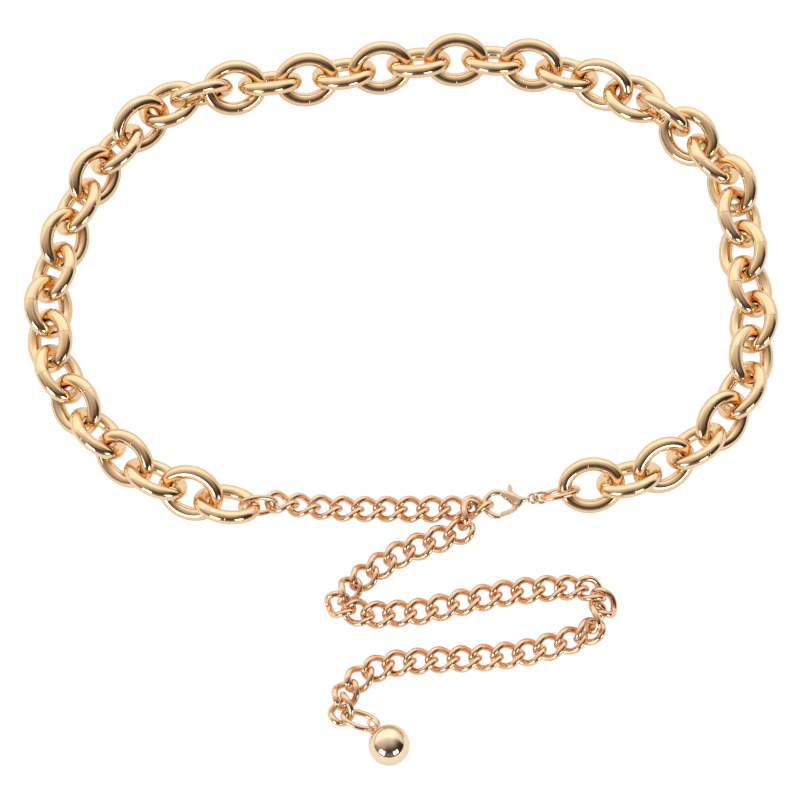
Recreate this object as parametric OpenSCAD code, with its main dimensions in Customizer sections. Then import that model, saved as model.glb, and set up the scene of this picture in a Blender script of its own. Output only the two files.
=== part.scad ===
// Waist chain: a heavy oval-link chain, a finer curb chain with a ball end, and a lobster clasp.
// Millimetres, +Z up, the chain lying on z = 0.

/* [Waist chain] */
// Overall length of a link
link_l = 23.2; // [20:0.1:28]
// Overall width of a link
link_w = 19.8; // [18:0.1:22]
// Thickness of a link's wire
link_wire = 4.8; // [4:0.1:5.2]
// Roundness of a link's ends, as a share of its half width
link_nose = 0.86; // [0.7:0.01:0.95]
// Gap left between two links that are pulled apart
link_gap = 0.2; // [0.15:0.05:0.6]

/* [Curb chain] */
// Overall length of a curb link
curb_l = 11.8; // [11.4:0.1:12.6]
// Overall width of a curb link
curb_w = 9.3; // [8.8:0.1:10]
// Thickness of a curb link's wire
curb_wire = 2; // [1.6:0.05:2.1]
// Gap left between two curb links that are pulled apart
curb_gap = 0.25; // [0.15:0.05:0.5]
// Twist of a curb link from its middle to half a pitch away
curb_twist = 45; // [35:1:50]

/* [Joining rings] */
// Overall length of the rings at the two ends of the heavy chain
join_l = 14.2; // [13.8:0.1:15]
// Overall width of these rings
join_w = 9.6; // [9:0.1:11]
// Thickness of their wire
join_wire = 1.9; // [1.5:0.05:2]
// Overall length of the ring at the ball
ball_ring_l = 14.2; // [13.8:0.1:15]
// Overall width of the ring at the ball
ball_ring_w = 9.8; // [9.2:0.1:11]
// Thickness of that ring's wire
ball_ring_wire = 2; // [1.6:0.05:2.1]
// Outer diameter of the small round ring at the clasp
small_ring_d = 6; // [5.8:0.05:6.4]
// Thickness of the small ring's wire
small_ring_wire = 1.1; // [0.9:0.05:1.2]

/* [Clasp] */
// Outer diameter of the hook
hook_d = 10.5; // [10:0.1:11]
// Thickness of the hook's wire
hook_wire = 1.9; // [1.6:0.05:1.95]
// Angle that the hook runs through, from the palm to its tip
hook_sweep = 212; // [195:1:222]
// Thickness of the hook's tip
tip_wire = 1.3; // [1:0.05:1.6]
// Thickness of the palm
palm_t = 3.2; // [2.8:0.1:3.6]
// Thickness of the lever
lever_t = 1.2; // [0.9:0.05:1.6]
// Gap between the lever and the palm's cheeks, each side
lever_gap = 0.2; // [0.15:0.05:0.35]
// Width of the lever's gate
gate_w = 1.5; // [1.1:0.05:1.7]
// Gap between the gate and the hook's tip
gate_gap = 0.3; // [0.2:0.05:0.6]
// Height that the thumb piece stands above the palm
thumb_h = 2.4; // [1.4:0.1:2.8]
// Diameter of the pivot pin
pin_d = 1.1; // [0.9:0.05:1.3]
// Gap around the pivot pin
pin_gap = 0.12; // [0.1:0.01:0.2]
// Outer diameter of the clasp's eye
eye_d = 4.1; // [3.9:0.05:4.5]
// Thickness of the eye's wire
eye_wire = 0.9; // [0.7:0.05:1]

/* [Ball] */
// Diameter of the ball
ball_d = 14; // [12:0.1:15]
// Outer diameter of the ball's eyelet
eyelet_d = 6.6; // [6.2:0.1:7]
// Thickness of the eyelet's wire
eyelet_wire = 1.2; // [1:0.05:1.3]
// Distance from the ball to the middle of the eyelet
eyelet_reach = 2; // [1.8:0.1:2.4]
// Diameter of the collar at the eyelet's root
collar_d = 3.2; // [2.6:0.1:3.6]

/* [Hidden] */
// Everything is moved by this, so that the middle of the whole is over the origin
MIDDLE = [-0.3, -0.6, 0];

// The heavy chain's route, link centres from the curb chain's end round to the clasp's end:
// [x, y, twist, splay, crowd]. Twist turns both sets of links, splay is the angle that the
// odd links are turned from it one way and the even ones the other, and crowd is the share
// of its pulled-out pitch that the chain has there.
WAIST_ROUTE = [
    [-59.3, -40.5, 0, 36, 0.97],
    [-84, -31.5, 0, 44, 0.98],
    [-104, -15, 0, 44, 0.98],
    [-118, 7, 0, 42, 0.96],
    [-122.5, 31, 0, 40, 0.96],
    [-117.5, 57, 0, 42, 0.97],
    [-108, 80, 0, 44, 0.96],
    [-92, 100.5, 6, 43, 0.94],
    [-81, 108.5, 28, 48, 0.91],
    [-69.5, 112, 56, 45, 0.87],
    [-57, 115, 77, 42, 0.93],
    [-32, 118.5, 90, 48, 1],
    [-6, 123, 90, 48, 1],
    [20, 126, 90, 48, 1],
    [46, 124, 90, 48, 0.99],
    [71.5, 116, 101, 48, 0.98],
    [83, 110.5, 119, 45, 0.92],
    [93.5, 103.5, 147, 49, 0.87],
    [102, 96, 169, 40, 0.9],
    [116.5, 78.5, 180, 42, 0.89],
    [120, 52.5, 180, 40, 0.99],
    [123, 26.5, 180, 40, 0.98],
    [118, 0.5, 180, 42, 0.98],
    [102, -19.5, 180, 43, 0.98],
    [79, -31.5, 180, 42, 0.98],
    [65.7, -33.5, 180, 34, 0.98]
];
// Points that the two end links lean toward
WAIST_FROM = [-44, -40, 5];
WAIST_TO = [52, -36, 5];

// The curb chain's four straight stretches: [x, y, z, roll]
CURB_RUNS = [
    [[-40.5, -39, 4, -35], [-32.5, -40, 3.7, -25], [-18.5, -41, 3.5, -15], [-3, -41, 3.2, -10],
        [13, -41, 3.3, 0], [26.5, -40, 3.8, -35]],
    [[13.5, -52, 3.8, -15], [-0.5, -57.5, 3.3, -10], [-12.5, -65.5, 3.3, -15]],
    [[-7.5, -79, 3.5, 10], [7.5, -77.5, 2.8, 0], [22.5, -74, 2.9, 0], [37, -71, 3, 0],
        [51, -69.5, 3.1, -5], [58.5, -69.5, 3.7, -20]],
    [[58, -88, 3.5, -10], [44, -92, 3, -5], [29, -94, 3.1, 0], [15, -95, 4, 10],
        [0, -96, 3.4, 5], [-7, -97.5, 3.1, 0], [-13.5, -101, 3, 0], [-18.5, -107, 3.3, -5]]
];
// The single links that turn the chain back after each stretch: [x, y, z, roll, climb, heading]
CURB_TURNS = [
    [[23.25, -43.75, 5, 105, 12.5, -115], [20.25, -49.75, 4.5, -30, 7.5, -160]],
    [[-17.75, -70.75, 4.25, -40, -12.5, -120], [-20.5, -76, 4.5, 5, -12.5, -30],
        [-14.25, -78.25, 3.5, 10, 12.5, -10]],
    [[65, -70.75, 4.5, -15, -2.5, -35], [69, -75, 3.5, 5, -2.5, -55],
        [66.5, -80.5, 4.75, 95, -2.5, -105], [64.25, -85.25, 4, -30, 0, -150]],
    [[-19.75, -112.5, 4, 30, 0, -95]]
];

// Places of the single rings: [x, y, z] and [roll, climb, heading]
JOIN_A = [[-48.6, -40.2, 4.8], [63, 14, 6]];
JOIN_B = [[55, -35.9, 5.2], [-54, -6, 12]];
BALL_RING = [[-13.3, -116.3, 3.7], [-37, 12, -13]];
SMALL_RING = [[48.4, -37.1, 4.1], [64, 2, 2]];
// Roundness of the oval rings' ends
RING_NOSE = 0.8;
// The clasp's place is its hook's outermost point, and the ball's the middle of its foot
CLASP_AT = [28.1, -39, 3.9];
CLASP_HEADING = 5.4;
BALL_AT = [-3.7, -125.8];
EYELET_TURN = [62, -17, -52.5];
COLLAR_OUT = 0.3;

// Where two lengths of wire run into each other, one is thinner by this and laps the other
SEAM = 0.04;
LAP = 0.3;
// Clasp, from its hook's outermost point along its length: the middle of the hook, the pivot,
// the slot's two ends and the tail's end, where the eye starts
hook_r = (hook_d - hook_wire) / 2;
HOOK_MIDDLE = [hook_d / 2, -0.95];
HOOK_FROM = 60;
PIVOT = [11.6, -1.9];
SLOT_FROM = 8.3;
SLOT_TO = 13.2;
TAIL_END = 16;
eye_middle = TAIL_END - eye_wire / 2 + eye_d / 2;
function on_hook(angle, r) = HOOK_MIDDLE + r * [cos(angle), sin(angle)];
// Knobs are [place, diameter]. The hook thins from its wire to its tip over its last part, with
// its outside on one arc
TIP_SWEEP = 37;
hook_knobs = [for (share = [0, 0.5, 1])
    let (wire = hook_wire + share * (tip_wire - hook_wire))
    [on_hook(HOOK_FROM + hook_sweep + (share - 1) * TIP_SWEEP, (hook_d - wire) / 2), wire + SEAM]];
hook_tip = hook_knobs[2][0];
// The palm's outline in knobs, as shares of its thickness: by the spine to the tail, and back by
// the pivot
PALM = [[9.2, 2.15, 0.85], [11, 0.95, 1], [13.1, -0.3, 0.8], [12.2, -2, 0.7], [11.3, -2.2, 0.6]];
palm_knobs = concat([[on_hook(HOOK_FROM, hook_r), hook_wire + 2 * SEAM]],
    [for (row = PALM) [flat(row), row[2] * palm_t]]);
NECK_FROM = [13.1, -0.3];
NECK_D = [0.7, 0.36];
LEVER_BOSS_R = 1.25;
PIN_SHARE = 0.8;
// The gate swings clear of the hook's tip: its end lies on the line from the pivot to the tip
gate_reach = norm(hook_tip - PIVOT) - tip_wire / 2 - gate_gap - gate_w / 2;
gate_end = PIVOT + gate_reach * unit(hook_tip - PIVOT);
GATE_BENDS = [[9.2, -4.1], [10.9, -3.3]];
// The thumb piece's four corners, and half its width where it meets the pivot
PALM_TOP = 3.2;
THUMB = [[9.2, PALM_TOP - 0.2], [9.7, PALM_TOP + thumb_h], [10.5, PALM_TOP + thumb_h],
    [11.2, PALM_TOP - 0.8]];
THUMB_ROOT = 1.2;
CLASP_FN = 32;
KNOB_FN = 24;
// Metal colours of the preview
GOLD = [0.86, 0.68, 0.44];
ROSE = [0.84, 0.58, 0.42];
PALE = [0.9, 0.75, 0.55];

// A smooth curve through the rows of a table, u counted in rows
function smooth(rows, u) =
    let (n = len(rows), i = min(floor(u), n - 2), t = u - i,
         a = i > 0 ? rows[i - 1] : 2 * rows[0] - rows[1],
         b = rows[i], c = rows[i + 1],
         d = i < n - 2 ? rows[i + 2] : 2 * rows[n - 1] - rows[n - 2])
    0.5 * (2 * b + (c - a) * t + (2 * a - 5 * b + 4 * c - d) * t * t
        + (3 * b - a - 3 * c + d) * t * t * t);
function flat(p) = [p[0], p[1]];
function spot(p) = [p[0], p[1], p[2]];

// Steps of the curve between two rows, and the way along it in pulled-out chain
STEPS = 8;
function crowd(p) = len(p) > 4 ? p[4] : 1;
function way_step(p, q) = norm(flat(q) - flat(p)) / ((crowd(p) + crowd(q)) / 2);
function track(rows) = [
    for (k = 0, w = 0, p = rows[0], q = smooth(rows, 1 / STEPS);
         k <= STEPS * (len(rows) - 1);
         k = k + 1, w = w + way_step(p, q), p = q,
         q = smooth(rows, min((k + 1) / STEPS, len(rows) - 1)))
        [w, p]];
function track_end(t) = t[len(t) - 1][0];
function on_track(t, w) = [for (c = [0 : len(t[0][1]) - 1]) lookup(w, [for (r = t) [r[0], r[1][c]]])];

// Angles [roll, climb, heading] that turn a shape along +X into the direction d
function aim(d, roll) = [roll, -atan2(d[2], norm(flat(d))), atan2(d[1], d[0])];
// Direction of link i of a chain that goes on to the point before at one end and after at the other
function along(before, points, after, i) = (i < len(points) - 1 ? points[i + 1] : after)
    - (i > 0 ? points[i - 1] : before);

// Heavy chain: half length and half width of a link's centre line
link_a = (link_l - link_wire) / 2;
link_b = (link_w - link_wire) / 2;
link_pitch_out = link_l - 2 * link_wire - link_gap;
waist_track = track(WAIST_ROUTE);
waist_way = track_end(waist_track);
link_count = 2 * ceil((waist_way / link_pitch_out + 1) / 2);
link_places = [for (i = [0 : link_count - 1]) on_track(waist_track, i * waist_way / (link_count - 1))];
// Odd links are at even places of the list
function link_roll(i) = link_places[i][2] + (i % 2 == 0 ? 1 : -1) * link_places[i][3];
LIE_GAP = 0.05;
function rest_height(roll) = link_wire / 2 + link_b * abs(sin(roll)) + LIE_GAP;
link_rest = [for (i = [0 : link_count - 1]) rest_height(link_roll(i))];
// A link that lies flat is held up by its neighbours, less this share of a wire
SAG = 1 / 8;
function link_z(i) = i == 0 || i == link_count - 1 ? link_rest[i]
    : max(link_rest[i], (link_rest[i - 1] + link_rest[i + 1]) / 2 - SAG * link_wire);
link_at = [for (i = [0 : link_count - 1]) [link_places[i][0], link_places[i][1], link_z(i)]];
link_turn = [for (i = [0 : link_count - 1])
    aim(along(WAIST_FROM, link_at, WAIST_TO, i), link_roll(i))];

// Curb chain: pitch, and the places of a stretch's links as [x, y, z, roll, climb, heading]
curb_a = (curb_l - curb_wire) / 2;
curb_b = (curb_w - curb_wire) / 2;
curb_pitch_out = curb_l - 2 * curb_wire - curb_gap;
function curb_run(k) =
    let (t = track(CURB_RUNS[k]), way = track_end(t), n = ceil(way / curb_pitch_out),
         at = [for (i = [0 : n]) on_track(t, i * way / n)], points = [for (p = at) spot(p)],
         before = k > 0 ? spot(CURB_TURNS[k - 1][len(CURB_TURNS[k - 1]) - 1]) : 2 * points[0] - points[1],
         after = k > 0 ? spot(CURB_TURNS[k][0]) : 2 * points[n] - points[n - 1])
    [for (i = [0 : n]) concat(points[i], aim(along(before, points, after, i), at[i][3]))];
CURB_FIRST = curb_run(0);
CURB_REST = [for (k = [0 : 3]) for (p = concat(k > 0 ? curb_run(k) : [], CURB_TURNS[k])) p];
// A curb link's centre line and its wire
CURB_STEPS = 14;
CURB_SIDES = 6;
function curb_point(t) = let (x = curb_a * cos(t), y = curb_b * sin(t),
    turn = -curb_twist * x / (curb_pitch_out / 2)) [x, y * cos(turn), y * sin(turn)];
curb_line = [for (i = [0 : CURB_STEPS - 1]) curb_point(360 * i / CURB_STEPS)];
function unit(v) = v / norm(v);

function link_name(i) = str("link_", i < 10 ? "0" : "", i);

$fn = 64;

// A flat oval ring of round wire: two nose arcs and two flatter side arcs that lap into them
module oval_ring(l, w, wire, nose) {
    a = (l - wire) / 2;
    b = (w - wire) / 2;
    nose_r = nose * b;
    side_r = ((a - nose_r) ^ 2 + b ^ 2 - nose_r ^ 2) / (2 * (b - nose_r));
    side_half = atan2(a - nose_r, side_r - b);
    lap = LAP / side_r * 180 / PI;
    for (turn = [0, 180]) rotate([0, 0, turn]) {
        translate([a - nose_r, 0, 0])
            arc_of_wire(nose_r, wire, -(90 - side_half), 2 * (90 - side_half));
        translate([0, b - side_r, 0])
            arc_of_wire(side_r, wire - SEAM, 90 - side_half - lap, 2 * (side_half + lap));
    }
}
module arc_of_wire(r, wire, from, sweep) {
    rotate([0, 0, from]) rotate_extrude(angle = sweep) translate([r, 0]) circle(d = wire);
}
// A closed ring of wire that follows a list of points round its middle
module wire_loop(line, wire, sides) {
    n = len(line);
    rim = [for (i = [0 : n - 1])
        let (ahead = unit(line[(i + 1) % n] - line[(i + n - 1) % n]),
             out = unit(line[i] - (line[i] * ahead) * ahead), side = cross(ahead, out))
        for (k = [0 : sides - 1])
            line[i] + wire / 2 * (cos(360 * k / sides) * out + sin(360 * k / sides) * side)];
    function at(i, k) = (i % n) * sides + k % sides;
    polyhedron(rim, [for (i = [0 : n - 1]) for (k = [0 : sides - 1])
        each [[at(i, k), at(i + 1, k + 1), at(i, k + 1)], [at(i, k), at(i + 1, k), at(i + 1, k + 1)]]]);
}
module set_at(place) translate(MIDDLE + place[0]) rotate(place[1]) children();

module link(i) {
    color(GOLD) set_at([link_at[i], link_turn[i]])
        oval_ring(link_l, link_w, link_wire, link_nose);
}
module curb_links(places) {
    color(ROSE) for (p = places) set_at([spot(p), [p[3], p[4], p[5]]])
        wire_loop(curb_line, curb_wire, CURB_SIDES);
}
module joining_ring_a() color(ROSE) set_at(JOIN_A) oval_ring(join_l, join_w, join_wire, RING_NOSE);
module joining_ring_b() color(ROSE) set_at(JOIN_B) oval_ring(join_l, join_w, join_wire, RING_NOSE);
module ball_ring() {
    color(ROSE) set_at(BALL_RING) oval_ring(ball_ring_l, ball_ring_w, ball_ring_wire, RING_NOSE);
}
module small_ring() {
    color(ROSE) set_at(SMALL_RING)
        arc_of_wire((small_ring_d - small_ring_wire) / 2, small_ring_wire, 0, 360);
}

module in_clasp() set_at([CLASP_AT, [0, 0, CLASP_HEADING]]) children();
module plate(t) translate([0, 0, -t / 2]) linear_extrude(t) children();
// A flat bar from one point to the next with round corners
module bent_bar(points, w) {
    for (p = points) translate(p) circle(d = w);
    for (i = [1 : len(points) - 1]) let (p = points[i - 1], way = points[i] - p)
        translate(p) rotate(atan2(way[1], way[0]))
            translate([0, (SEAM - w) / 2]) square([norm(way), w - SEAM]);
}
// Round knobs with the metal between them
module joined(knobs) hull() for (k = knobs) translate([k[0][0], k[0][1], 0]) sphere(d = k[1], $fn = KNOB_FN);
module clasp_body() {
    $fn = CLASP_FN;
    slot_t = lever_t + 2 * lever_gap;
    color(GOLD) in_clasp() {
        translate([HOOK_MIDDLE[0], HOOK_MIDDLE[1], 0])
            arc_of_wire(hook_r, hook_wire, HOOK_FROM, hook_sweep - TIP_SWEEP);
        for (i = [1, 2]) joined([hook_knobs[i - 1], hook_knobs[i]]);
        difference() {
            union() {
                joined(palm_knobs);
                joined([[NECK_FROM, NECK_D[0] * palm_t], [[TAIL_END, 0], NECK_D[1] * palm_t]]);
            }
            translate([SLOT_FROM, -hook_d, -slot_t / 2]) cube([SLOT_TO - SLOT_FROM, 2 * hook_d, slot_t]);
        }
        translate([PIVOT[0], PIVOT[1], -PIN_SHARE * palm_t / 2]) cylinder(d = pin_d, h = PIN_SHARE * palm_t);
        translate([eye_middle, 0, 0]) arc_of_wire((eye_d - eye_wire) / 2, eye_wire, 0, 360);
    }
}
module clasp_lever() {
    color(GOLD) in_clasp() difference() {
        union() {
            plate(lever_t) {
                bent_bar(concat([gate_end], GATE_BENDS, [PIVOT]), gate_w);
                polygon(concat(THUMB, [for (side = [1, -1]) PIVOT + [side * THUMB_ROOT, -LAP]]));
            }
            translate(PIVOT) plate(lever_t + SEAM) circle(r = LEVER_BOSS_R);
        }
        translate([PIVOT[0], PIVOT[1], -palm_t]) cylinder(d = pin_d + 2 * pin_gap, h = 2 * palm_t);
    }
}
module ball() {
    r = ball_d / 2;
    color(PALE) translate(MIDDLE + [BALL_AT[0], BALL_AT[1], r]) {
        sphere(d = ball_d);
        rotate(EYELET_TURN) {
            translate([-r - eyelet_reach, 0, 0])
                arc_of_wire((eyelet_d - eyelet_wire) / 2, eyelet_wire, 0, 360);
            rotate([0, -90, 0]) cylinder(d = collar_d, h = r + COLLAR_OUT);
        }
    }
}

for (i = [1 : link_count]) link(i - 1);
curb_links(CURB_FIRST);  // curb_chain_waist
curb_links(CURB_REST);  // curb_chain_tail
joining_ring_a();
joining_ring_b();
ball_ring();
small_ring();
clasp_body();
clasp_lever();
ball();
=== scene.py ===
import math

import bpy
import numpy as np
from mathutils import Matrix, Vector


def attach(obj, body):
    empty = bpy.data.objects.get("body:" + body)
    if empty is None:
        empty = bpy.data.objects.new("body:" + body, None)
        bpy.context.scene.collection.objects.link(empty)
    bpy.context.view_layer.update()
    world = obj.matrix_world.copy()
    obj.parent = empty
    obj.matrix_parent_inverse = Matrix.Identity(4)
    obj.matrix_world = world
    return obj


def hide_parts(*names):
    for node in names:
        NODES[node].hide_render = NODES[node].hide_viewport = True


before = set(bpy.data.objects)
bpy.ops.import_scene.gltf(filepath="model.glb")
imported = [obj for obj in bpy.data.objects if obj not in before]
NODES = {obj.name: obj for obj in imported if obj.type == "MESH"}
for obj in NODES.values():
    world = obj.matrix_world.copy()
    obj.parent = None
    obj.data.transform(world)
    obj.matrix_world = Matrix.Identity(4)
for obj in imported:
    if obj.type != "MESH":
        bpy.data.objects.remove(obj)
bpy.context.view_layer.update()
MM = 0.001

# Camera, set to the photograph's view: it looks down at the object along +Y
TARGET = Vector((-0.3, -0.6, 0)) * MM
DISTANCE = 1500 * MM
ELEVATION = math.radians(70)
LENS = 194.4
SENSOR = 36
FAR_CLIP = 20

# Curb chain, in millimetres: the links' size and their two stretches as in the CAD model
MIDDLE = np.array((-0.3, -0.6, 0.0))
CURB_L = 11.8
CURB_W = 9.3
CURB_WIRE = 2.0
CURB_GAP = 0.25
CURB_TWIST = 45
CURB_PITCH = CURB_L - 2 * CURB_WIRE - CURB_GAP
# What the plating adds to a curb link: to its wire, and to its middle line's half length and half
# width. The links crowded round the hook get half the wire alone
CURB_PLATING = (0.28, 0.1, 0.1)
CURB_CROWDED = 2
FLOOR_GAP = 0.02
# The straight stretches as (x, y, z, roll), and the links of the turns after them as
# (x, y, z, roll, climb, heading)
CURB_RUNS = [
    [(-40.5, -39, 4, -35), (-32.5, -40, 3.7, -25), (-18.5, -41, 3.5, -15), (-3, -41, 3.2, -10),
     (13, -41, 3.3, 0), (26.5, -40, 3.8, -35)],
    [(13.5, -52, 3.8, -15), (-0.5, -57.5, 3.3, -10), (-12.5, -65.5, 3.3, -15)],
    [(-7.5, -79, 3.5, 10), (7.5, -77.5, 2.8, 0), (22.5, -74, 2.9, 0), (37, -71, 3, 0),
     (51, -69.5, 3.1, -5), (58.5, -69.5, 3.7, -20)],
    [(58, -88, 3.5, -10), (44, -92, 3, -5), (29, -94, 3.1, 0), (15, -95, 4, 10),
     (0, -96, 3.4, 5), (-7, -97.5, 3.1, 0), (-13.5, -101, 3, 0), (-18.5, -107, 3.3, -5)],
]
CURB_TURNS = [
    [(23.25, -43.75, 5, 105, 12.5, -115), (20.25, -49.75, 4.5, -30, 7.5, -160)],
    [(-17.75, -70.75, 4.25, -40, -12.5, -120), (-20.5, -76, 4.5, 5, -12.5, -30),
     (-14.25, -78.25, 3.5, 10, 12.5, -10)],
    [(65, -70.75, 4.5, -15, -2.5, -35), (69, -75, 3.5, 5, -2.5, -55),
     (66.5, -80.5, 4.75, 95, -2.5, -105), (64.25, -85.25, 4, -30, 0, -150)],
    [(-19.75, -112.5, 4, 30, 0, -95)],
]
TRACK_STEPS = 8
LINE_STEPS = 56

# Oval rings, in millimetres: overall length and width, wire and roundness of the ends
LINK = (23.2, 19.8, 4.8, 0.86)
JOIN = (14.2, 9.6, 1.9, 0.8)
BALL_RING = (14.2, 9.8, 2.0, 0.8)
SMALL_RING = (6.0, 6.0, 1.1, 1.0)
NOSE_STEPS = 22
SIDE_STEPS = 18
LINK_SIDES = 32
WIRE_SIDES = 16
# The heavy link's butt seam: its width and depth, and its groove's points as places in half widths
# from its middle and depths there
SEAM_W = 0.22
SEAM_DEEP = 0.18
SEAM_PROFILE = [(-1, 0), (-0.9, 0), (0, SEAM_DEEP), (0.9, 0), (1, 0)]
LINK_COUNT = 44
# Middle of the waist loop, in metres
LOOP_MIDDLE = np.array((0, 0.04, 0.005))

# Clasp, in millimetres: how near its facets' corners are welded, how fine its melted skin is, how
# far each round of melting goes, and for the body and the lever how many rounds they get and how
# much they then swell
WELD_REACH = 0.001
SKIN_VOXEL = 0.08
MELT_SHARE = 0.5
BODY_MELT = (30, 0.06)
LEVER_MELT = (24, 0.1)
# Its gate's hinge and nose, and how much nearer to the hook's tip the nose comes than in the CAD
# model, whose gap there would show
GATE_ROOT = (39.5, -40.4, 3.9)
GATE_NOSE = (34.4, -43.7, 3.9)
GATE_MORE = 0.13

# Plating: the noise that tints it in clouds and makes it from 0.7 to 1.5 times as rough, and the
# finer noise of its buffing, whose depth is in metres
CLOUD_SCALE = 90
CLOUD_DETAIL = 2
CLOUD_RANGE = (0.3, 0.7)
CLOUD_ROUGH = (0.7, 1.5)
BUFF_SCALE = 900
BUFF_DETAIL = 3
BUFF_STRENGTH = 0.02
BUFF_DEPTH = 0.0001

# Floor: half its side in metres, its grey and its glow as the metal sees it, and for the camera's
# eye the share of plain white and how bright that is
FLOOR_HALF = 3
FLOOR_GREY = 0.86
FLOOR_ROUGH = 0.8
FLOOR_GLOW = 0.3
FLOOR_CLEAN = 0.82
FLOOR_WHITE = 1.12

# The studio as polished metal sees it: bright back wall, dim ceiling, dark front and right side.
# Each table is the light along one wall-to-wall band, by the angle in degrees from straight up
# towards the back; the three stand to the left, in the middle and to the right
STUDIO_STRENGTH = 1.26
STUDIO_LEFT = [(-100, (0.2, 0.19, 0.19)), (-60, (0.22, 0.2, 0.2)), (-44, (0.28, 0.25, 0.23)),
               (-30, (0.38, 0.34, 0.31)), (-14, (0.5, 0.45, 0.41)), (2, (0.6, 0.55, 0.5)),
               (14, (0.7, 0.66, 0.61)), (26, (0.86, 0.84, 0.8)), (40, (0.95, 0.95, 0.93)),
               (100, (0.92, 0.92, 0.92))]
STUDIO_MIDDLE = [(-100, (0.15, 0.14, 0.14)), (-84, (0.17, 0.16, 0.17)), (-70, (0.17, 0.16, 0.17)),
                 (-58, (0.06, 0.045, 0.04)), (-44, (0.07, 0.045, 0.035)), (-34, (0.15, 0.11, 0.09)),
                 (-20, (0.29, 0.25, 0.21)), (-8, (0.43, 0.39, 0.34)), (2, (0.52, 0.48, 0.43)),
                 (13, (0.62, 0.58, 0.53)), (22, (0.76, 0.75, 0.72)), (31, (0.98, 0.99, 0.98)),
                 (50, (1, 1, 1)), (100, (1, 1, 1))]
STUDIO_RIGHT = [(-100, (0.05, 0.04, 0.04)), (-40, (0.03, 0.022, 0.02)), (-10, (0.03, 0.022, 0.02)),
                (10, (0.06, 0.045, 0.04)), (20, (0.2, 0.18, 0.16)), (30, (0.46, 0.43, 0.39)),
                (42, (0.72, 0.7, 0.67)), (100, (0.68, 0.68, 0.67))]
STUDIO_SPAN = 100
# Share of the outer tables by how far to the side, and the dimming by height over the horizon
STUDIO_TO_LEFT = [(-0.65, 1), (-0.05, 0)]
STUDIO_TO_RIGHT = [(0.25, 0), (0.95, 1)]
STUDIO_HORIZON = [(-0.02, 0.45), (0.08, 0.6), (0.2, 1)]
# Two soft lights in front: name, azimuth, elevation, distance and size in metres, and power
WINDOWS = [("window_left", -35, 19, 1.3, (0.62, 0.5), 4.5),
           ("window_right", 35, 19, 1.3, (0.54, 0.44), 3.4)]


# Places of the curb chain's links, worked out as the CAD model does
def smooth(rows, u):
    """The point at u on a smooth curve through the rows, which are 1 apart."""
    rows = np.array(rows, float)
    n = len(rows)
    i = min(int(u), n - 2)
    t = u - i
    b, c = rows[i], rows[i + 1]
    a = rows[i - 1] if i > 0 else 2 * b - c
    d = rows[i + 2] if i < n - 2 else 2 * c - b
    return 0.5 * (2 * b + (c - a) * t + (2 * a - 5 * b + 4 * c - d) * t * t
                  + (3 * b - a - 3 * c + d) * t ** 3)


def track(rows):
    """Points along a stretch, and the way to each as seen from above."""
    points = [smooth(rows, min(k / TRACK_STEPS, len(rows) - 1))
              for k in range(TRACK_STEPS * (len(rows) - 1) + 1)]
    steps = [np.linalg.norm((q - p)[:2]) for p, q in zip(points, points[1:])]
    return np.concatenate([[0], np.cumsum(steps)]), np.array(points)


def aim(d, roll):
    """Roll, climb and heading, in degrees, of a link that points along d."""
    climb = -math.degrees(math.atan2(d[2], math.hypot(d[0], d[1])))
    return roll, climb, math.degrees(math.atan2(d[1], d[0]))


def curb_run(k):
    """Places of the links of one straight stretch, each aimed along its neighbours."""
    way, points = track(CURB_RUNS[k])
    count = math.ceil(way[-1] / CURB_PITCH)
    at = [[np.interp(i * way[-1] / count, way, points[:, c]) for c in range(4)]
          for i in range(count + 1)]
    spots = [np.array(p[:3]) for p in at]
    before = np.array(CURB_TURNS[k - 1][-1][:3]) if k else 2 * spots[0] - spots[1]
    after = np.array(CURB_TURNS[k][0][:3]) if k else 2 * spots[-1] - spots[-2]
    line = [before] + spots + [after]
    return [(*spots[i], *aim(line[i + 2] - line[i], at[i][3])) for i in range(count + 1)]


def place_matrix(place):
    x, y, z, roll, climb, heading = place
    turn = (Matrix.Rotation(math.radians(heading), 4, "Z")
            @ Matrix.Rotation(math.radians(climb), 4, "Y")
            @ Matrix.Rotation(math.radians(roll), 4, "X"))
    return Matrix.Translation(Vector(MIDDLE + (x, y, z))) @ turn


# Meshes
def smooth_mesh(name, verts, faces):
    mesh = bpy.data.meshes.new(name)
    mesh.from_pydata([tuple(v) for v in verts], [], faces)
    mesh.polygons.foreach_set("use_smooth", [True] * len(faces))
    mesh.validate()
    return mesh


def in_scene(name, data):
    obj = bpy.data.objects.new(name, data)
    bpy.context.scene.collection.objects.link(obj)
    return obj


def tube_faces(n, sides):
    """Faces of a closed tube of n rounds of vertices."""
    return [(i * sides + k, (i + 1) % n * sides + k,
             (i + 1) % n * sides + (k + 1) % sides, i * sides + (k + 1) % sides)
            for i in range(n) for k in range(sides)]


def curb_point(t, longer, wider):
    """A point of the twisted middle line of a curb link."""
    x = (CURB_L - CURB_WIRE) / 2 * math.cos(t)
    y = ((CURB_W - CURB_WIRE) / 2 + wider) * math.sin(t)
    turn = -math.radians(CURB_TWIST) * x / (CURB_PITCH / 2)
    return np.array((x + longer * math.cos(t), y * math.cos(turn), y * math.sin(turn)))


def wire_verts(line, wire, sides):
    """Vertices of round wire that follows a closed line round its middle."""
    verts = []
    for i in range(len(line)):
        ahead = line[(i + 1) % len(line)] - line[i - 1]
        ahead /= np.linalg.norm(ahead)
        out = line[i] - line[i].dot(ahead) * ahead
        out /= np.linalg.norm(out)
        side = np.cross(ahead, out)
        for k in range(sides):
            a = 2 * math.pi * k / sides
            verts.append(line[i] + wire / 2 * (math.cos(a) * out + math.sin(a) * side))
    return verts


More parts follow.
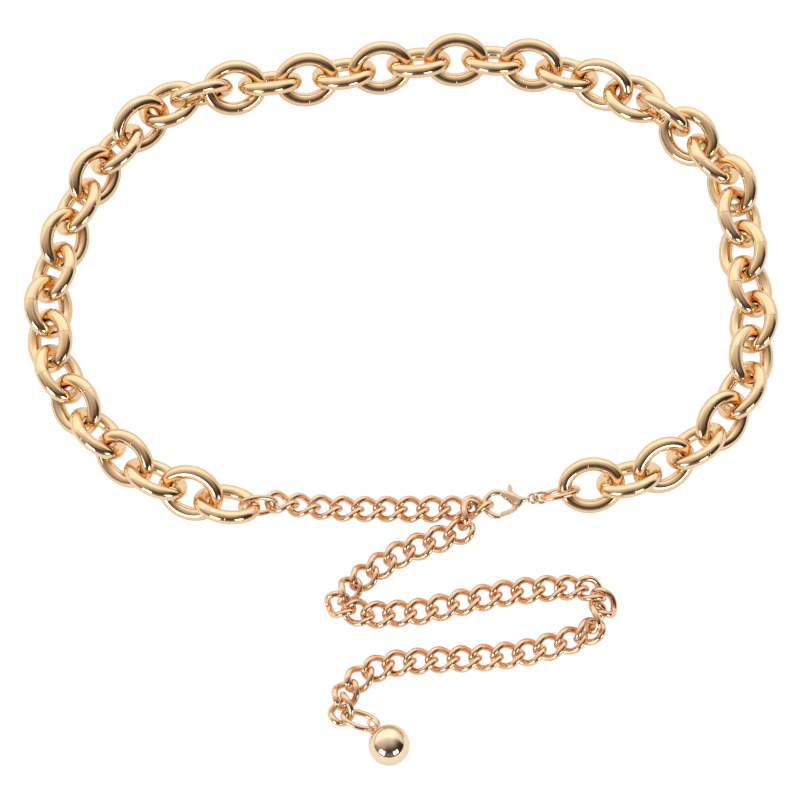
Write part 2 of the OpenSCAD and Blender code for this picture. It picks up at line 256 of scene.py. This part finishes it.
def curb_chain(name, places, node, crowded):
    """One smooth ring at each place. crowded holds the numbers of the links that stay slimmer."""
    verts, faces = [], []
    for k, place in enumerate(places):
        slim = (CURB_PLATING[0] / 2, 0, 0)
        more, longer, wider = slim if k in crowded else CURB_PLATING
        line = [curb_point(2 * math.pi * i / LINE_STEPS, longer, wider) for i in range(LINE_STEPS)]
        m = place_matrix(place)
        start = len(verts)
        spots = [m @ Vector(v) for v in wire_verts(line, CURB_WIRE + more, WIRE_SIDES)]
        verts += [(x * MM, y * MM, max(z, FLOOR_GAP) * MM) for x, y, z in spots]
        faces += [tuple(start + i for i in f) for f in tube_faces(LINE_STEPS, WIRE_SIDES)]
    obj = in_scene(name, smooth_mesh(name, verts, faces))
    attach(obj, "belt")
    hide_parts(node)
    return obj


def arc(centre, r, start, sweep, steps, wire, groove=False):
    """Rows (point, outward direction, wire's radius) along one arc of an oval's middle line."""
    turns = [start + sweep * i / steps for i in range(steps)]
    deep = {}
    if groove:
        middle = start + sweep / 2
        turns = [t for t in turns if abs(t - middle) * r > SEAM_W]
        deep = {middle + k * SEAM_W / 2 / r: depth for k, depth in SEAM_PROFILE}
        turns = sorted(turns + list(deep))
    rows = []
    for t in turns:
        out = np.array((math.cos(t), math.sin(t), 0))
        rows.append((np.array((*centre, 0)) + r * out, out, wire / 2 - deep.get(t, 0)))
    return rows


def oval_line(l, w, wire, nose, seam):
    """An oval's rows, from its +X end on: a nose, a flatter side, the other nose and side."""
    a, b = (l - wire) / 2, (w - wire) / 2
    if nose == 1:
        return arc((0, 0), b, 0, 2 * math.pi, 3 * NOSE_STEPS, wire)
    nose_r = nose * b
    side_r = ((a - nose_r) ** 2 + b ** 2 - nose_r ** 2) / (2 * (b - nose_r))
    side_half = math.atan2(a - nose_r, side_r - b)
    nose_half = math.pi / 2 - side_half
    return (arc((a - nose_r, 0), nose_r, -nose_half, 2 * nose_half, NOSE_STEPS, wire)
            + arc((0, b - side_r), side_r, math.pi / 2 - side_half, 2 * side_half, SIDE_STEPS,
                  wire, seam)
            + arc((nose_r - a, 0), nose_r, math.pi - nose_half, 2 * nose_half, NOSE_STEPS, wire)
            + arc((0, side_r - b), side_r, 1.5 * math.pi - side_half, 2 * side_half, SIDE_STEPS,
                  wire))


def ring_mesh(name, size, sides, seam=False):
    rows = oval_line(*size, seam)
    up = np.array((0, 0, 1))
    verts = []
    for point, out, r in rows:
        for k in range(sides):
            turn = 2 * math.pi * k / sides
            verts.append((point + r * (math.cos(turn) * out + math.sin(turn) * up)) * MM)
    return smooth_mesh(name, verts, tube_faces(len(rows), sides))


def node_axes(obj):
    """The middle of a CAD ring and its long, short and thin directions, from its surface."""
    mesh = obj.data
    mesh.calc_loop_triangles()
    co = np.empty(len(mesh.vertices) * 3)
    mesh.vertices.foreach_get("co", co)
    tris = np.empty(len(mesh.loop_triangles) * 3, int)
    mesh.loop_triangles.foreach_get("vertices", tris)
    t = co.reshape(-1, 3)[tris.reshape(-1, 3)]
    area = np.linalg.norm(np.cross(t[:, 1] - t[:, 0], t[:, 2] - t[:, 0]), axis=1)
    middle = (t.mean(1) * area[:, None]).sum(0) / area.sum()
    q = np.concatenate([(t[:, k] + t[:, (k + 1) % 3]) / 2 for k in range(3)]) - middle
    w = np.concatenate([area] * 3)
    vectors = np.linalg.eigh((q * w[:, None]).T @ q)[1]
    return middle, vectors[:, 2], vectors[:, 1], vectors[:, 0]


def dress_ring(node, mesh, mat, outward=0):
    """Stands a smooth ring in for a CAD ring. Its seam turns away from the loop where outward is 1,
    and towards it where outward is -1."""
    middle, long_way, short_way, thin_way = node_axes(NODES[node])
    if outward and np.dot(short_way, middle - LOOP_MIDDLE) * outward < 0:
        short_way = -short_way
    if np.dot(np.cross(long_way, short_way), thin_way) < 0:
        thin_way = -thin_way
    obj = in_scene(node + "_dressed", mesh)
    turn = Matrix([(*long_way, 0), (*short_way, 0), (*thin_way, 0), (0, 0, 0, 1)]).transposed()
    obj.matrix_world = Matrix.Translation(Vector(middle)) @ turn
    if not mesh.materials:
        mesh.materials.append(mat)
    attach(obj, "belt")
    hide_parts(node)
    return obj


def rounded(node, body, melt, mat):
    """A copy of a CAD node with its joints and edges melted together, as cast and polished metal.
    The melting draws the surface in, and the swelling brings it back out."""
    rounds, swell = melt
    obj = in_scene(node + "_dressed", NODES[node].data.copy())
    obj.data.materials.clear()
    weld = obj.modifiers.new("weld", "WELD")
    weld.merge_threshold = WELD_REACH * MM
    skin = obj.modifiers.new("skin", "REMESH")
    skin.mode = "VOXEL"
    skin.voxel_size = SKIN_VOXEL * MM
    soften = obj.modifiers.new("melt", "SMOOTH")
    soften.factor = MELT_SHARE
    soften.iterations = rounds
    grow = obj.modifiers.new("grow", "DISPLACE")
    grow.mid_level = 0
    grow.strength = swell * MM
    bpy.context.view_layer.update()
    depsgraph = bpy.context.evaluated_depsgraph_get()
    mesh = bpy.data.meshes.new_from_object(obj.evaluated_get(depsgraph))
    obj.modifiers.clear()
    obj.data = mesh
    mesh.polygons.foreach_set("use_smooth", [True] * len(mesh.polygons))
    mesh.materials.clear()
    mesh.materials.append(mat)
    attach(obj, body)
    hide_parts(node)
    return obj


def drawn_out(obj, root, nose, more):
    """Makes a piece longer from root to nose, its outer half alone."""
    root, nose = Vector(root) * MM, Vector(nose) * MM
    way = nose - root
    for vert in obj.data.vertices:
        u = min(max(2 * (vert.co - root).dot(way) / way.length_squared - 1, 0), 1)
        vert.co += more * MM * u * u * (3 - 2 * u) * way.normalized()


# Materials
def add_node(nodes, kind, inputs=(), **settings):
    """A shader node with its settings, and with values in some of its inputs."""
    node = nodes.new(kind)
    for name, value in settings.items():
        setattr(node, name, value)
    for name, value in dict(inputs).items():
        node.inputs[name].default_value = value
    return node


def metal(name, colour, deep, rough):
    """Polished plating: its colour and gloss drift a little in clouds, and buffing ripples it."""
    mat = bpy.data.materials.new(name)
    mat.use_nodes = True
    nodes, links = mat.node_tree.nodes, mat.node_tree.links
    shader = nodes["Principled BSDF"]
    shader.inputs["Metallic"].default_value = 1
    place = nodes.new("ShaderNodeTexCoord")
    buff = add_node(nodes, "ShaderNodeTexNoise", {"Scale": BUFF_SCALE, "Detail": BUFF_DETAIL})
    links.new(place.outputs["Object"], buff.inputs["Vector"])
    cloud = add_node(nodes, "ShaderNodeTexNoise", {"Scale": CLOUD_SCALE, "Detail": CLOUD_DETAIL})
    links.new(place.outputs["Object"], cloud.inputs["Vector"])
    tint = add_node(nodes, "ShaderNodeMix", {"A": (*colour, 1), "B": (*deep, 1)}, data_type="RGBA")
    links.new(cloud.outputs["Fac"], tint.inputs["Factor"])
    links.new(tint.outputs["Result"], shader.inputs["Base Color"])
    gloss = add_node(nodes, "ShaderNodeMapRange",
                     {"From Min": CLOUD_RANGE[0], "From Max": CLOUD_RANGE[1],
                      "To Min": rough * CLOUD_ROUGH[0], "To Max": rough * CLOUD_ROUGH[1]})
    links.new(cloud.outputs["Fac"], gloss.inputs["Value"])
    links.new(gloss.outputs["Result"], shader.inputs["Roughness"])
    bump = add_node(nodes, "ShaderNodeBump", {"Strength": BUFF_STRENGTH, "Distance": BUFF_DEPTH})
    links.new(buff.outputs["Fac"], bump.inputs["Height"])
    links.new(bump.outputs["Normal"], shader.inputs["Normal"])
    return mat


def plain_floor():
    """A pale floor to the metal, and nearly plain white to the camera."""
    mat = bpy.data.materials.new("floor")
    mat.use_nodes = True
    nodes, links = mat.node_tree.nodes, mat.node_tree.links
    shader = nodes["Principled BSDF"]
    shader.inputs["Base Color"].default_value = (FLOOR_GREY, FLOOR_GREY, FLOOR_GREY, 1)
    shader.inputs["Roughness"].default_value = FLOOR_ROUGH
    shader.inputs["Emission Color"].default_value = (1, 1, 1, 1)
    shader.inputs["Emission Strength"].default_value = FLOOR_GLOW
    clean = add_node(nodes, "ShaderNodeEmission", {"Strength": FLOOR_WHITE})
    path = nodes.new("ShaderNodeLightPath")
    share = add_node(nodes, "ShaderNodeMath", operation="MULTIPLY")
    share.inputs[1].default_value = FLOOR_CLEAN
    links.new(path.outputs["Is Camera Ray"], share.inputs[0])
    mix = nodes.new("ShaderNodeMixShader")
    links.new(share.outputs["Value"], mix.inputs[0])
    links.new(shader.outputs["BSDF"], mix.inputs[1])
    links.new(clean.outputs["Emission"], mix.inputs[2])
    links.new(mix.outputs["Shader"], nodes["Material Output"].inputs["Surface"])
    return mat


# Light
def studio_world():
    world = bpy.data.worlds.new("studio")
    bpy.context.scene.world = world
    world.use_nodes = True
    nodes, links = world.node_tree.nodes, world.node_tree.links
    back = nodes["Background"]
    place = nodes.new("ShaderNodeTexCoord")
    split = nodes.new("ShaderNodeSeparateXYZ")
    links.new(place.outputs["Generated"], split.inputs["Vector"])

    def ramp(stops, source, span):
        """Colours at places from -span to span along the source."""
        share = add_node(nodes, "ShaderNodeMapRange", {"From Min": -span, "From Max": span})
        links.new(source, share.inputs["Value"])
        node = nodes.new("ShaderNodeValToRGB")
        node.color_ramp.interpolation = "EASE"
        points = node.color_ramp.elements
        while len(points) < len(stops):
            points.new(0.5)
        for point, (at, colour) in zip(points, stops):
            point.position = (at / span + 1) / 2
            point.color = (*colour, 1)
        links.new(share.outputs["Result"], node.inputs["Fac"])
        return node.outputs["Color"]

    def grey(stops):
        return [(at, (v, v, v)) for at, v in stops]

    def mixed(kind, factor, a, b):
        node = add_node(nodes, "ShaderNodeMix", data_type="RGBA", blend_type=kind)
        if factor is None:
            node.inputs["Factor"].default_value = 1
        else:
            links.new(factor, node.inputs["Factor"])
        links.new(a, node.inputs["A"])
        links.new(b, node.inputs["B"])
        return node.outputs["Result"]

    angle = add_node(nodes, "ShaderNodeMath", operation="ARCTAN2")
    links.new(split.outputs["Y"], angle.inputs[0])
    links.new(split.outputs["Z"], angle.inputs[1])
    left, middle, right = (
        ramp([(math.radians(t), c) for t, c in table], angle.outputs["Value"],
             math.radians(STUDIO_SPAN))
        for table in (STUDIO_LEFT, STUDIO_MIDDLE, STUDIO_RIGHT))
    walls = mixed("MIX", ramp(grey(STUDIO_TO_LEFT), split.outputs["X"], 1), middle, left)
    walls = mixed("MIX", ramp(grey(STUDIO_TO_RIGHT), split.outputs["X"], 1), walls, right)
    walls = mixed("MULTIPLY", None, walls, ramp(grey(STUDIO_HORIZON), split.outputs["Z"], 1))
    links.new(walls, back.inputs["Color"])
    back.inputs["Strength"].default_value = STUDIO_STRENGTH
    # The camera sees plain white past the floor
    plain_back = nodes.new("ShaderNodeBackground")
    path = nodes.new("ShaderNodeLightPath")
    mix = nodes.new("ShaderNodeMixShader")
    links.new(path.outputs["Is Camera Ray"], mix.inputs["Fac"])
    links.new(back.outputs["Background"], mix.inputs[1])
    links.new(plain_back.outputs["Background"], mix.inputs[2])
    links.new(mix.outputs["Shader"], nodes["World Output"].inputs["Surface"])


def window(name, azimuth, elevation, far, size, power):
    """A soft light that faces the frame's origin."""
    light = bpy.data.lights.new(name, "AREA")
    light.shape = "RECTANGLE"
    light.size, light.size_y = size
    light.energy = power
    a, e = math.radians(azimuth), math.radians(elevation)
    at = far * Vector((math.sin(a) * math.cos(e), -math.cos(a) * math.cos(e), math.sin(e)))
    obj = in_scene(name, light)
    obj.location = at
    obj.rotation_euler = (-at).to_track_quat("-Z", "Y").to_euler()


# The chain
GOLD = metal("gold", (0.93, 0.7, 0.45), (0.9, 0.64, 0.38), 0.08)
ROSE = metal("rose_gold", (0.92, 0.64, 0.43), (0.86, 0.57, 0.36), 0.1)
CAST = metal("cast_gold", (0.84, 0.63, 0.43), (0.78, 0.56, 0.37), 0.16)
PALE = metal("pale_gold", (0.92, 0.74, 0.54), (0.9, 0.7, 0.49), 0.06)


def plating(node):
    if node.startswith("link"):
        return GOLD
    if node == "ball":
        return PALE
    return CAST if "clasp" in node else ROSE


for name, obj in NODES.items():
    obj.data.materials.clear()
    obj.data.materials.append(plating(name))

link_mesh = ring_mesh("link", LINK, LINK_SIDES, seam=True)
for i in range(1, LINK_COUNT + 1):
    dress_ring(f"link_{i:02d}", link_mesh, GOLD, 1 if i % 2 else -1)
join_mesh = ring_mesh("joining_ring", JOIN, WIRE_SIDES)
dress_ring("joining_ring_a", join_mesh, ROSE)
dress_ring("joining_ring_b", join_mesh, ROSE)
dress_ring("ball_ring", ring_mesh("ball_ring", BALL_RING, WIRE_SIDES), ROSE)
dress_ring("small_ring", ring_mesh("small_ring", SMALL_RING, WIRE_SIDES), ROSE)
rounded("clasp_body", "belt", BODY_MELT, CAST)
lever = rounded("clasp_lever", "lever", LEVER_MELT, CAST)
drawn_out(lever, GATE_ROOT, GATE_NOSE, GATE_MORE)

waist_places = curb_run(0)
tail_places = list(CURB_TURNS[0])
for k in (1, 2, 3):
    tail_places += curb_run(k) + CURB_TURNS[k]
waist = curb_chain("curb_links_waist", waist_places, "curb_chain_waist",
                   range(len(waist_places) - CURB_CROWDED, len(waist_places)))
tail = curb_chain("curb_links_tail", tail_places, "curb_chain_tail", range(CURB_CROWDED))
for obj in (waist, tail):
    obj.data.materials.append(ROSE)

# Floor, light and camera
floor = in_scene("floor", smooth_mesh(
    "floor", [(x * FLOOR_HALF, y * FLOOR_HALF, 0) for x, y in ((-1, -1), (1, -1), (1, 1), (-1, 1))],
    [(0, 1, 2, 3)]))
floor.data.materials.append(plain_floor())

studio_world()
for row in WINDOWS:
    window(*row)

camera = bpy.data.cameras.new("camera")
camera.lens = LENS
camera.sensor_width = SENSOR
camera.clip_end = FAR_CLIP
eye = in_scene("camera", camera)
eye.location = TARGET + DISTANCE * Vector((0, -math.cos(ELEVATION), math.sin(ELEVATION)))
eye.rotation_euler = (math.radians(90) - ELEVATION, 0, 0)
bpy.context.scene.camera = eye
bpy.context.scene.view_settings.view_transform = "Standard"
